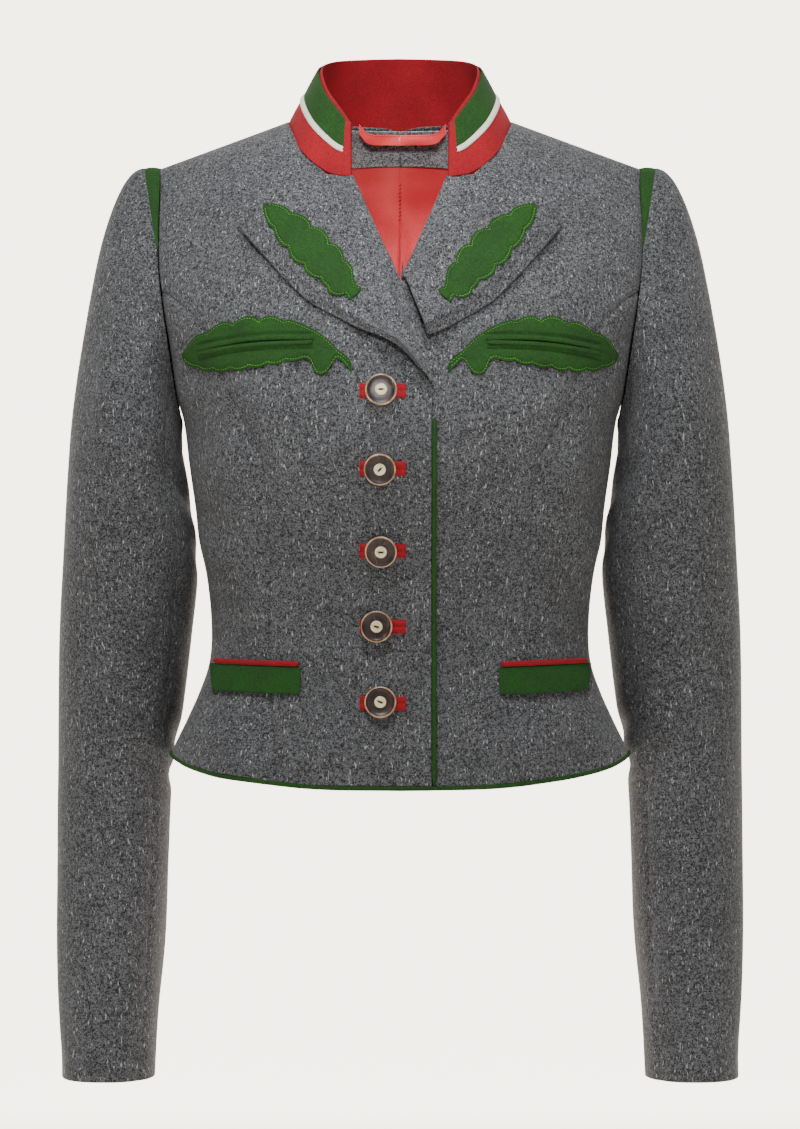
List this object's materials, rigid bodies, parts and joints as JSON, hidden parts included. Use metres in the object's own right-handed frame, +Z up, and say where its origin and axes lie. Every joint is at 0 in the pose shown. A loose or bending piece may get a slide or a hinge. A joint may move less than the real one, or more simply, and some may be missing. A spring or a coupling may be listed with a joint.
{
  "type": "short loden jacket, worn form",
  "caption": "Short fitted loden jacket with stand collar, turned lapels, leaf appliques and long sleeves, hollow as if worn.",
  "frame": {"origin": "middle of the neck base, level with the side-neck points, where the wearer's neck and shoulders hold the jacket", "axes": "+Z up, -Y to the front, +X towards the wearer's left"},
  "size_m": [0.4722, 0.241, 0.6954],
  "materials": {
    "loden": "heather grey fulled wool, soft nap",
    "green_felt": "leaf green felt",
    "dark_green_cloth": "darker green wool",
    "red_cloth": "red wool",
    "white_cord": "cream piping",
    "satin_lining": "coral red satin",
    "horn": "brown grained horn, semi-gloss",
    "ivory": "ivory-coloured, satin"
  },
  "bodies": {
    "root": {"front_right_centre": "loden", "front_right_side": "loden", "back_right": "loden", "lining_back_right": "satin_lining", "sleeve_right_upper": "loden", "sleeve_right_under": "loden", "shoulder_wedge_right": "green_felt", "lapel_right": "loden", "leaf_lapel_right": "green_felt", "leaf_breast_right": "green_felt", "welt_breast_right_upper": "green_felt", "welt_breast_right_lower": "green_felt", "pocket_welt_right": "dark_green_cloth", "pocket_piping_right": "red_cloth", "collar_end_right": "red_cloth", "front_left_centre": "loden", "front_left_side": "loden", "back_left": "loden", "lining_back_left": "satin_lining", "sleeve_left_upper": "loden", "sleeve_left_under": "loden", "shoulder_wedge_left": "green_felt", "lapel_left": "loden", "leaf_lapel_left": "green_felt", "leaf_breast_left": "green_felt", "welt_breast_left_upper": "green_felt", "welt_breast_left_lower": "green_felt", "pocket_welt_left": "dark_green_cloth", "pocket_piping_left": "red_cloth", "collar_end_left": "red_cloth", "collar_red": "red_cloth", "collar_piping": "white_cord", "collar_green": "green_felt", "collar_inner": "red_cloth", "facing_back_neck": "loden", "hanger_loop": "satin_lining", "piping_front_edge": "green_felt", "piping_hem": "green_felt", "buttonhole_1": "red_cloth", "button_1": "horn", "button_middle_1": "ivory", "buttonhole_2": "red_cloth", "button_2": "horn", "button_middle_2": "ivory", "buttonhole_3": "red_cloth", "button_3": "horn", "button_middle_3": "ivory", "buttonhole_4": "red_cloth", "button_4": "horn", "button_middle_4": "ivory", "buttonhole_5": "red_cloth", "button_5": "horn", "button_middle_5": "ivory"}
  },
  "joints": []
}
